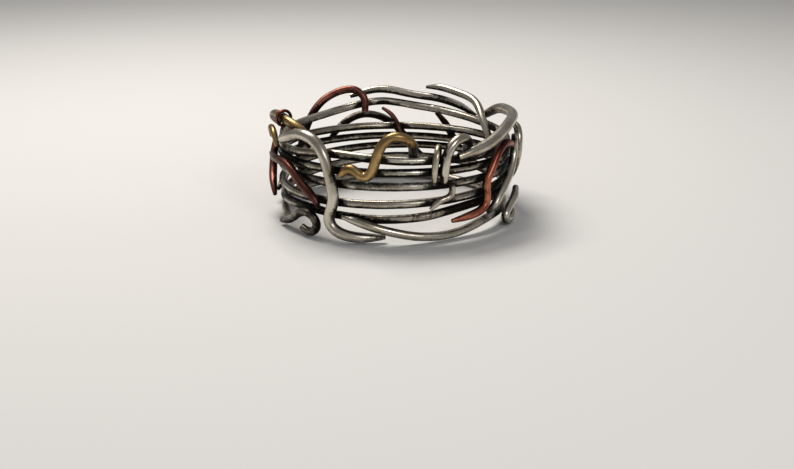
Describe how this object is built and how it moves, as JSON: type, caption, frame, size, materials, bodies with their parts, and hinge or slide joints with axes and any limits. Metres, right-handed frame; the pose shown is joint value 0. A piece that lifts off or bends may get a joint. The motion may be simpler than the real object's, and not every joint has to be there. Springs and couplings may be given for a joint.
{
  "type": "woven wire finger ring",
  "caption": "Finger ring woven from bent silver, brass and copper wires, with loose hoops that spin in the weave.",
  "frame": {"origin": "on the band's axis, level with the lowest wires that it rests on", "axes": "+Z along the band's axis, up as the ring stands on its edge; -Y is the front with the brass tendril; +X to the right of it"},
  "size_m": [0.0215, 0.0212, 0.0095],
  "materials": {
    "silver": "worn silver with dark oxide in the crevices",
    "hoop_silver": "dark oxidised silver, rubbed bright along the top",
    "brass": "aged golden brass",
    "copper": "aged copper, dark red-brown"
  },
  "bodies": {
    "woven_band": {"back_copper_vine": "copper", "back_left_curl": "silver", "back_right_curl": "silver", "back_right_rim_wire": "silver", "back_rim_wire": "silver", "back_silver_curl": "silver", "bottom_rim_wire": "silver", "brass_scroll": "brass", "brass_tail": "brass", "brass_tendril": "brass", "copper_back_arch": "copper", "copper_edge_vine": "copper", "copper_vine_left": "copper", "copper_vine_right": "copper", "hook_clasp": "silver", "inside_strand": "silver", "large_silver_curl": "silver", "low_left_scroll": "silver", "low_right_scroll": "silver", "lower_wave_wire": "hoop_silver", "right_edge_curl": "silver", "right_rim_wire": "silver", "silver_hook": "silver", "silver_vine_right": "silver", "upper_wave_wire": "hoop_silver", "yellow_hook_strand": "brass"},
    "upper_hoop": {"upper_hoop": "hoop_silver"},
    "middle_hoop": {"middle_hoop": "hoop_silver"},
    "lower_hoop": {"lower_hoop": "hoop_silver"},
    "copper_link": {"copper_link": "copper"}
  },
  "joints": [
    {"name": "upper_hoop_spin", "type": "hinge", "parent": "woven_band", "child": "upper_hoop", "pos_m": [0, 0, 0.00536], "axis": [0, 0.0357, 0.9994], "continuous": true},
    {"name": "middle_hoop_spin", "type": "hinge", "parent": "woven_band", "child": "middle_hoop", "pos_m": [0, 0, 0.00435], "axis": [0, 0.0278, 0.9996], "continuous": true},
    {"name": "lower_hoop_spin", "type": "hinge", "parent": "woven_band", "child": "lower_hoop", "pos_m": [0, 0, 0.00321], "axis": [-0.0278, 0, 0.9996], "continuous": true},
    {"name": "copper_link_spin", "type": "hinge", "parent": "woven_band", "child": "copper_link", "pos_m": [-0.00887, -0.00381, 0.00872], "axis": [0.4728, -0.8777, -0.0778], "continuous": true}
  ]
}
